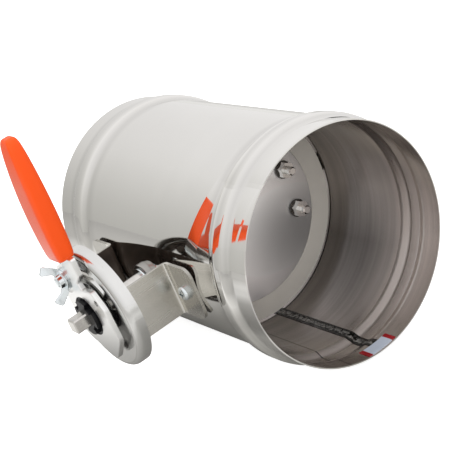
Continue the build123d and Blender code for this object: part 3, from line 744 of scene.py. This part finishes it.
def plated_finish(name, colour, roughness, scale=240.0, shaded=None, behind=None, ring=None):
    """Plated metal with faint orange-peel and dull spots, with painted shade on its shaded side, behind a
    plane and along a ring line.
    """
    paint = Finish(name, Metallic=1.0)
    spots = paint.clouds(scale, 0.3)
    tone = paint.mix(paint.clouds(scale * 0.15, 0.3), colour, shade(colour, 0.93))
    tone = paint.lay(tone, paint.maths("GREATER_THAN", spots, 0.97), 0.6, shade(colour, 0.35))
    if behind is not None:
        # Painted shade: dark where the piece lies behind a plane
        tone = paint.mix(paint.maths("GREATER_THAN", paint.axes()["Y"], behind), tone, SHADE_AND_SEAM_DARK)
    if ring is not None:
        # Painted shade: a thin dark line at the ring's radius
        tone = paint.mix(painted_shade_line(paint, ring), tone, SHADE_BROWN)
    shade_inside(paint, tone, shaded)
    paint.rough(paint.span(spots, roughness * 0.9, roughness * 1.1))
    paint.bump(spots, 0.02, 0.0002)
    return paint.material


# Width of the painted shade line on the dial, its soft edge, and the heights over which it fades towards the
# bottom
RING_WIDTH = 0.5 * MM
RING_SOFT = 0.35 * MM
RING_FADE = (-12 * MM, 18 * MM)


def painted_shade_line(paint, radius):
    """Mask of a thin painted shade line at a radius about the shaft, fainter towards the bottom."""
    parts = paint.axes()
    beside = paint.maths("SUBTRACT", parts["X"], SHAFT_X)
    reach = paint.maths("SQRT", paint.squares(beside, parts["Z"]))
    line = paint.band(reach, radius, radius + RING_WIDTH, RING_SOFT)
    return paint.maths("MULTIPLY", line, paint.span(parts["Z"], 0.15, 0.75, *RING_FADE))


# Tones of the lever, and the heights between which painted shade darkens its lower lobe
LEVER_BRIGHT = (0.96, 0.96, 0.945)
LEVER_SMEARED = (0.90, 0.90, 0.89)
LEVER_SHADE = (0.42, 0.42, 0.41)
LEVER_SHADE_HEIGHTS = (-34 * MM, 4 * MM)


def lever_finish():
    """Satin plating darkened by painted shade towards the lever's lower lobe."""
    paint = Finish("satin lever", Metallic=1.0)
    # Painted shade: darker towards the lower lobe
    low = paint.span(paint.axes()["Z"], 1.0, 0.0, *LEVER_SHADE_HEIGHTS)
    tone = paint.mix(paint.clouds(45.0, 0.3, stretch=(1, 1, 0.5)), LEVER_BRIGHT, LEVER_SMEARED)
    paint.colour(paint.mix(low, tone, LEVER_SHADE))
    paint.rough(paint.span(paint.clouds(900.0, 0.2), 0.30, 0.33))
    return paint.material


def soft_finish(name, colour, roughness, darker=0.8, scale=300.0, bump=0.1, **values):
    """Moulded plastic or rubber with a fine grain and soft patches."""
    paint = Finish(name, **values)
    grain = paint.clouds(scale * 6, 0.8)
    paint.colour(paint.mix(paint.clouds(scale * 0.1, 0.5), colour, shade(colour, darker)))
    paint.rough(paint.span(grain, roughness * 0.85, roughness * 1.15))
    paint.bump(grain, bump, 0.00008)
    return paint.material


def paint_piece(obj, material, body, slot, *nodes):
    """Give a new piece its finish, its body and the nodes that it stands for."""
    obj.data.materials.clear()
    obj.data.materials.append(material)
    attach(obj, body)
    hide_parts(*nodes)


# Stage


class DAMPER_OT_stage(bpy.types.Operator):
    """Make the camera, the floor and the soft studio light"""

    bl_idname = "damper.stage"
    bl_label = "Camera, floor and light"

    def execute(self, context):
        make_camera(context.scene)
        make_floor()
        make_world(context.scene)
        make_lights()
        context.scene.view_settings.view_transform = "Standard"
        return {"FINISHED"}


# The camera fitted to the photograph: its place in metres, its turn in degrees, its lens and sensor in mm
CAMERA_PLACE = (0.5269, -0.3462, 0.3098)
CAMERA_HEADING = -62.117
CAMERA_PITCH = -23.722
CAMERA_ROLL = -22.256
CAMERA_LENS = 90.63
CAMERA_SENSOR = 36.0


def make_camera(scene):
    """Camera at the photograph's place, with its heading, pitch and roll in degrees."""
    bpy.ops.object.camera_add(location=CAMERA_PLACE)
    camera = bpy.context.object
    heading, pitch = math.radians(CAMERA_HEADING), math.radians(CAMERA_PITCH)
    level = math.cos(pitch)
    ahead = Vector((math.sin(heading) * level, math.cos(heading) * level, math.sin(pitch)))
    camera.rotation_mode = "QUATERNION"
    roll = Quaternion((0, 0, 1), math.radians(CAMERA_ROLL))
    camera.rotation_quaternion = ahead.to_track_quat("-Z", "Y") @ roll
    camera.data.lens = CAMERA_LENS
    camera.data.sensor_width = CAMERA_SENSOR
    camera.data.clip_start = 0.01
    scene.camera = camera


# Floor: its size in metres, how far it lies under the tube, its tones to the eye and its glow to the eye
FLOOR_SIZE = 30.0
FLOOR_GAP = 0.0002
FLOOR_PALE = ((0.90, 0.90, 0.90), (0.86, 0.86, 0.86))
FLOOR_GLOW = 0.74

# Floor in reflections: its grey, its brightness without a glow, and its painted glow by distance in half
# metres, low near the damper as a painted shadow
FLOOR_GREY = (0.34, 0.335, 0.32)
FLOOR_BASE = 0.40
FLOOR_LIGHT = ((0.20, 0.0), (0.38, 0.12), (0.54, 0.44), (0.68, 0.36), (0.95, 0.17))

# The oval that the distance is measured in, and where the far floor starts and is full
FLOOR_OVAL = (1.0, 1.3, 0.0)
FLOOR_SHIFT = (0.11, 0.04, 0.0)
FAR_FLOOR = (0.5, 1.8)

# A painted pool of light on the floor, seen only in reflections: its place, its inner and outer radius, and
# its glow
LIGHT_POOL_PLACE = (-0.36, -0.25, FLOOR_Z)
LIGHT_POOL_SIZE = (0.05, 0.2)
LIGHT_POOL_LIFT = 0.26

# Sky: the direction it brightens in, how far, and its brightness from the dim end to the bright one
SKY_PULL = (0.5, 0.6, 0.5)
SKY_REACH = 0.9
SKY = (
    (0.0, 0.50), (0.167, 0.65), (0.29, 0.79), (0.37, 0.88), (0.436, 0.92), (0.61, 0.97), (0.78, 1.02),
    (1.0, 1.1),
)


def make_floor():
    """Large plain pale floor under the lowest point, near white to the eye and grey in reflections."""
    start_clean()
    bpy.ops.mesh.primitive_plane_add(size=FLOOR_SIZE, location=(0, 0, FLOOR_Z - FLOOR_GAP))
    floor = settle(bpy.context.object, "floor")
    paint = Finish("pale floor", Roughness=0.9, Specular_IOR_Level=0.1, Emission_Color=(1, 1, 1, 1))
    seen = add(paint.tree, "ShaderNodeLightPath").outputs["Is Camera Ray"]
    paint.colour(paint.mix(seen, FLOOR_GREY, paint.mix(paint.clouds(3.0, 0.2), *FLOOR_PALE)))
    direct = paint.maths("MULTIPLY", seen, FLOOR_GLOW)
    mirrored = paint.maths("MULTIPLY", paint.maths("SUBTRACT", 1.0, seen), mirrored_glow(paint))
    paint.feed(paint.maths("ADD", direct, mirrored), paint.shader.inputs["Emission Strength"])
    floor.data.materials.append(paint.material)


def mirrored_glow(paint):
    """Painted glow in reflections: by distance near the damper, where it is low as a painted shadow, like the
    sky far off, and lifted in the painted pool of light.
    """
    away = paint.vector("LENGTH", paint.mapped(FLOOR_OVAL, move=FLOOR_SHIFT))["Value"]
    near_glow = paint.ramp(paint.maths("MULTIPLY", away, 2.0), FLOOR_LIGHT)
    ahead = paint.vector("NORMALIZE", paint.place)["Vector"]
    far_glow = paint.maths("SUBTRACT", sky_light(paint.tree, ahead), FLOOR_BASE)
    far = paint.span(away, 0.0, 1.0, *FAR_FLOOR)
    glow = paint.maths("MULTIPLY", far, paint.maths("SUBTRACT", far_glow, near_glow))
    glow = paint.maths("ADD", near_glow, glow)
    # Painted pool of light in reflections
    light_pool = paint.vector("DISTANCE", paint.place, LIGHT_POOL_PLACE)["Value"]
    return paint.maths("ADD", glow, paint.span(light_pool, LIGHT_POOL_LIFT, 0.0, *LIGHT_POOL_SIZE))


def sky_light(tree, direction):
    """Brightness of the surroundings in a direction."""
    pull = add(tree, "ShaderNodeVectorMath", operation="DOT_PRODUCT")
    pull.inputs[1].default_value = SKY_PULL
    tree.links.new(direction, pull.inputs[0])
    spread = add(tree, "ShaderNodeMapRange")
    spread.inputs["From Min"].default_value = -SKY_REACH
    spread.inputs["From Max"].default_value = SKY_REACH
    tree.links.new(pull.outputs["Value"], spread.inputs["Value"])
    ramp = add(tree, "ShaderNodeValToRGB")
    fill_ramp(ramp, [(place, sky_colour(place, grey)) for place, grey in SKY])
    tree.links.new(spread.outputs["Result"], ramp.inputs["Fac"])
    return ramp.outputs["Color"]


def sky_colour(place, grey):
    """Grey of the surroundings, warmer towards the dim end."""
    return (grey, grey * 0.99, grey * (0.94 + 0.055 * min(1.0, place * 2)))


def make_world(scene):
    """Soft white surroundings, brightest overhead and behind, dimmer and warmer low on the handle's side."""
    world = bpy.data.worlds.new("studio")
    scene.world = world
    world.use_nodes = True
    tree = world.node_tree
    ground = tree.nodes["Background"]
    coords = add(tree, "ShaderNodeTexCoord")
    tree.links.new(sky_light(tree, coords.outputs["Generated"]), ground.inputs["Color"])
    ground.inputs["Strength"].default_value = 1.0


# Soft boxes: name, place, size and power
SOFT_BOXES = (
    ("overhead", (0.1, -0.2, 1.6), 1.6, 10.0),
    ("front", (1.2, -1.2, 0.8), 1.0, 11.0),
)
LIT_PLACE = (-0.1, 0, 0)


def make_lights():
    """Soft boxes for the matt surfaces: a large one overhead and one on the camera's side."""
    for name, place, size, power in SOFT_BOXES:
        bpy.ops.object.light_add(type="AREA", location=place)
        light = bpy.context.object
        light.name = name
        light.data.size = size
        light.data.energy = power
        light.visible_glossy = False
        light.rotation_mode = "QUATERNION"
        light.rotation_quaternion = (Vector(LIT_PLACE) - Vector(place)).to_track_quat("-Z", "Y")


# Tube

# Steps round the tube and along a plain length, and the length in metres from which a step counts as plain
TUBE_STEPS = 320
PLAIN_STEPS = 16
LONG_STEP = 0.05

# Plain ends beyond the beads, a bead's ramps and bends, the holes' radii and the screws' distance
FRONT_SPIGOT = 14.5 * MM
REAR_SPIGOT = 18.0 * MM
BEAD_RAMP = 6.0 * MM
BEAD_BEND = 6.0 * MM
BUSH_HOLE = 7.55 * MM
SCREW_HOLE = 2.7 * MM
SCREW_SPREAD = 48.0 * MM

# Where the cutters of the holes start and end, as shares of the tube's radius
CUTTER_REACH = (0.9, 1.1)


class DAMPER_OT_tube(bpy.types.Operator):
    """Model the beaded tube as one smooth shell with its holes"""

    bl_idname = "damper.tube"
    bl_label = "Tube"

    def execute(self, context):
        shell = lathe("tube_shell", wall_line(0.0) + wall_line(sizes().wall)[::-1], TUBE_STEPS)
        inside, outside = [sizes().tube_radius * share for share in CUTTER_REACH]
        for side in (-1, 1):
            cut(shell, bar("bush_hole", BUSH_HOLE, (SHAFT_X, side * inside, 0), (SHAFT_X, side * outside, 0)))
            along = SHAFT_X + side * SCREW_SPREAD
            cut(shell, bar("screw_hole", SCREW_HOLE, (along, -inside, 0), (along, -outside, 0), 24))
        smooth(shell, 30.0)
        paint_piece(shell, tube_finish(), "duct", "stainless_tube", "duct_body")
        return {"FINISHED"}


def wall_line(depth):
    """Stations of the tube's wall, from the rear rim to the mouth, at a depth below its outside."""
    radius = sizes().tube_radius - depth
    crest = radius + sizes().bead_height
    shift = depth * math.tan(math.atan2(sizes().bead_height, BEAD_RAMP) / 2)
    points = [(REAR_X, radius)]
    for low in (REAR_X + REAR_SPIGOT, MOUTH_X - FRONT_SPIGOT - sizes().bead_width):
        high = low + sizes().bead_width
        points.append((low + shift, radius))
        points.append((low + BEAD_RAMP + shift, crest))
        points.append((high - BEAD_RAMP - shift, crest))
        points.append((high - shift, radius))
    points.append((MOUTH_X, radius))
    hollow = BEAD_BEND + depth
    round_over = BEAD_BEND + sizes().wall - depth
    stations = rounded_line(points, [hollow, round_over, round_over, hollow] * 2)
    filled = []
    for start, end in zip(stations, stations[1:]):
        filled.append(start)
        if end[0] - start[0] > LONG_STEP:
            for step in range(1, PLAIN_STEPS):
                part = step / PLAIN_STEPS
                filled.append((start[0] + (end[0] - start[0]) * part, radius))
    filled.append(stations[-1])
    return filled


# Finishes of the pieces that keep the frame's shape

BRACKET_STEEL = (0.52, 0.505, 0.465)
SADDLE_STEEL = (0.58, 0.57, 0.54)
BLADE_STEEL = (0.74, 0.75, 0.75)
TURNED_STEEL = (0.72, 0.70, 0.67)
BUSH_METAL = (0.46, 0.45, 0.43)
NUT_METAL = (0.74, 0.73, 0.71)
# Painted shade: the washers are darkened like the shade around the nuts
WASHER_SHADE_DARK = (0.08, 0.075, 0.07)
BLUE_ZINC = (0.82, 0.87, 0.89)
SILICONE_GREY = (0.70, 0.67, 0.61)
NYLON_BLACK = (0.006, 0.006, 0.007)

# Where sheets shade themselves: a centre that the dark sides look at, and the directions that count
BRACKET_SHADE = ((SHAFT_X, -70 * MM, 0), (1, 1, 0))
DIAL_SHADE = ((SHAFT_X, -105 * MM, 0), (0, 1, 0), -5 * MM)

# Painted highlights on the bracket's bends by distance from the shaft, the painted shade line on the dial,
# and the centre of the blade's painted shade
BRACKET_FOLD_HIGHLIGHTS = (35.2 * MM, 39.0 * MM)
DIAL_SHADE_LINE = 39.0 * MM
BLADE_SHADE_SPOT = (SHAFT_X + 10 * MM, 24 * MM, -21 * MM)


class DAMPER_OT_finishes(bpy.types.Operator):
    """Give every piece of the frame its finish"""

    bl_idname = "damper.finishes"
    bl_label = "Finishes"

    def execute(self, context):
        for material, names in frame_finishes():
            for name in names:
                obj = frame["nodes"][name]
                obj.data.materials.clear()
                obj.data.materials.append(material)
        return {"FINISHED"}


def frame_finishes():
    """Each material with the frame's nodes that wear it."""
    bracket = brushed_finish(
        "brushed bracket", BRACKET_STEEL, (1, 0.03, 1), 0.26, shaded=BRACKET_SHADE, fold_highlights=BRACKET_FOLD_HIGHLIGHTS
    )
    saddle = brushed_finish("brushed saddles", SADDLE_STEEL, (1, 0.03, 1), 0.26)
    blade = brushed_finish(
        "satin blade", BLADE_STEEL, (1, 1, 0.1), 0.42, fine=120.0, contrast=0.05, bump=0.0, domed=0.8,
        hollow=BLADE_SHADE_SPOT,
    )
    dial = plated_finish(
        "bright dial", tuple(colours().zinc), 0.17, scale=420.0, shaded=DIAL_SHADE, ring=DIAL_SHADE_LINE
    )
    # Painted shade on the lock bolt where it lies behind the dial
    bolt = plated_finish("bolt zinc", BLUE_ZINC, 0.16, scale=500.0, behind=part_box("dial_plate")[0][1])
    fastener = plated_finish("blue zinc", BLUE_ZINC, 0.16, scale=500.0)
    nut = plated_finish("dark nuts", NUT_METAL, 0.10, scale=500.0)
    # Painted shade on the washers
    washer = plated_finish("dark washers", WASHER_SHADE_DARK, 0.2, scale=500.0)
    turned = brushed_finish("turned steel", TURNED_STEEL, (0.05, 1, 0.05), 0.2, fine=2500.0)
    bush = plated_finish("bush metal", BUSH_METAL, 0.3)
    silicone = soft_finish("silicone", SILICONE_GREY, 0.4, darker=0.9)
    nylon = soft_finish("black nylon", NYLON_BLACK, 0.4, Specular_IOR_Level=0.2)
    return (
        (bracket, ("bracket",)),
        (saddle, ("shaft_saddles",)),
        (blade, ("blade_back_plate", "blade_front_plate")),
        (dial, ("dial_plate",)),
        (lever_finish(), ("dial_rivets", "lever_plate")),
        (fastener, ("bracket_screws", "shaft_clips", "lock_spacer", "lock_washer", "wing_nut")),
        (nut, ("bracket_nuts", "saddle_bolts", "saddle_nuts")),
        (washer, ("saddle_washers",)),
        (bolt, ("lock_bolt",)),
        (turned, ("shaft", "spacer_sleeve")),
        (bush, ("near_bush", "far_bush")),
        (silicone, ("seal_ring",)),
        (nylon, ("hub_insert", "bracket_bush")),
        (label_finish(), ("rim_label",)),
        (sealant_finish(), ("seam_sealant",)),
    )


# Grip

# Stations up the grip: height above the shaft, lean along X, half width along X, half depth along Y, in mm
GRIP_STATIONS = (
    (44.4, -0.8, 8.9, 5.7),
    (45.6, -0.8, 9.5, 6.3),
    (56.0, -0.8, 10.3, 6.8),
    (70.0, -0.6, 10.8, 7.0),
    (84.0, -0.1, 10.8, 6.8),
    (98.0, 0.8, 10.1, 6.3),
    (110.0, 1.9, 9.0, 5.6),
    (119.5, 2.9, 7.4, 4.9),
    (124.5, 3.4, 6.0, 4.2),
    (126.8, 3.5, 4.0, 2.9),
)

# Corner as a share of the half depth, the first slice's thickness in mm, and the insets that round the ends
GRIP_CORNER = 0.52
GRIP_START = 1.0
GRIP_TIP_INSET = 1.6 * MM
GRIP_FOOT_INSET = 1.2 * MM

# Sheen that handling leaves on the grip's front, by share of the way up, and the heights where that runs
GRIP_WEAR = ((0.0, 0.9), (0.25, 0.7), (0.6, 0.8), (0.85, 0.15))
WEAR_FOOT = 40 * MM
WEAR_TOP = 130 * MM


class DAMPER_OT_grip(bpy.types.Operator):
    """Model the moulded grip with its flat front and blunt end"""

    bl_idname = "damper.grip"
    bl_label = "Grip"

    def execute(self, context):
        low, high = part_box("grip")
        grip = grip_form((low[1] + high[1]) / 2)
        paint_piece(grip, grip_finish(), "valve", "orange_grip", "grip")
        return {"FINISHED"}


def grip_finish():
    """Orange plastic with a fine grain, rubbed to a sheen on the front."""
    paint = Finish("orange grip", Coat_Roughness=0.2, Specular_IOR_Level=0.3)
    grain = paint.clouds(1800.0, 0.8)
    orange = tuple(colours().grip)
    paint.colour(paint.mix(paint.clouds(40.0, 0.5, stretch=(1, 1, 0.4)), orange, shade(orange, 0.93)))
    paint.rough(paint.span(grain, 0.34, 0.44))
    paint.bump(grain, 0.08, 0.00008)
    front = paint.span(paint.axes(paint.facing)["Y"], 1.0, 0.0, -1.0, -0.25)
    worn = paint.ramp(paint.span(paint.axes()["Z"], 0.0, 1.0, WEAR_FOOT, WEAR_TOP), GRIP_WEAR)
    paint.feed(paint.maths("MULTIPLY", front, worn), paint.shader.inputs["Coat Weight"])
    return paint.material


def grip_form(middle):
    """Rounded bar whose section follows the stations, closed and smoothed at both ends."""
    start_clean()
    height, lean, wide, deep = GRIP_STATIONS[0]
    size = (2 * wide * MM, 2 * deep * MM, GRIP_START * MM)
    place = (SHAFT_X + lean * MM, middle, (height - GRIP_START / 2) * MM)
    bpy.ops.mesh.primitive_cube_add(size=1.0, location=place, scale=size)
    grip = settle(bpy.context.object, "lever_grip")
    pick(grip, "EDGE", lambda a, b: abs(a.z - b.z) > GRIP_START / 2 * MM)
    bpy.ops.mesh.bevel(offset=GRIP_CORNER * deep * MM, segments=4, profile=0.5, affect="EDGES")
    bpy.ops.object.mode_set(mode="OBJECT")
    pick(grip, "FACE", lambda centre, normal: normal.z > 0.9)
    for next_height, next_lean, next_wide, next_deep in GRIP_STATIONS[1:]:
        move = ((next_lean - lean) * MM, 0, (next_height - height) * MM)
        bpy.ops.mesh.extrude_region_move(TRANSFORM_OT_translate={"value": move})
        centre = (SHAFT_X + next_lean * MM, middle, next_height * MM)
        bpy.ops.transform.resize(value=(next_wide / wide, next_deep / deep, 1), center_override=centre)
        height, lean, wide, deep = next_height, next_lean, next_wide, next_deep
    bpy.ops.mesh.inset(thickness=GRIP_TIP_INSET)
    bpy.ops.object.mode_set(mode="OBJECT")
    pick(grip, "FACE", lambda centre, normal: normal.z < -0.9)
    bpy.ops.mesh.inset(thickness=GRIP_FOOT_INSET)
    bpy.ops.object.mode_set(mode="OBJECT")
    tidy_mesh(grip)
    smoothing = grip.modifiers.new("smoothing", "SUBSURF")
    smoothing.levels = smoothing.render_levels = 2
    apply_modifiers(grip)
    smooth(grip, 50.0)
    return grip


class DAMPER_PT_panel(bpy.types.Panel):
    """Sidebar panel that lists the damper's pieces"""

    bl_idname = "DAMPER_PT_panel"
    bl_label = "Duct damper"
    bl_space_type = "VIEW_3D"
    bl_region_type = "UI"
    bl_category = "Damper"

    def draw(self, context):
        for group in (context.scene.damper_sizes, context.scene.damper_colours):
            for name in group.bl_rna.properties.keys():
                if name not in ("rna_type", "name"):
                    self.layout.prop(group, name)
        for operator in OPERATORS:
            self.layout.operator(operator.bl_idname)


OPERATORS = (DAMPER_OT_stage, DAMPER_OT_finishes, DAMPER_OT_tube, DAMPER_OT_grip)
CLASSES = (DamperSizes, DamperColours, *OPERATORS, DAMPER_PT_panel)


def register():
    """Register the classes and attach the settings to the scene."""
    for item in CLASSES:
        bpy.utils.register_class(item)
    bpy.types.Scene.damper_sizes = PointerProperty(type=DamperSizes)
    bpy.types.Scene.damper_colours = PointerProperty(type=DamperColours)


def unregister():
    """Take the settings and the classes away again."""
    del bpy.types.Scene.damper_colours
    del bpy.types.Scene.damper_sizes
    for item in reversed(CLASSES):
        bpy.utils.unregister_class(item)


def main():
    """Make every piece in order."""
    register()
    GROUPS["streaks"] = make_streaks_group()
    GROUPS["clouds"] = make_clouds_group()
    bpy.ops.damper.stage()
    bpy.ops.damper.finishes()
    bpy.ops.damper.tube()
    bpy.ops.damper.grip()


if __name__ == "__main__":
    main()
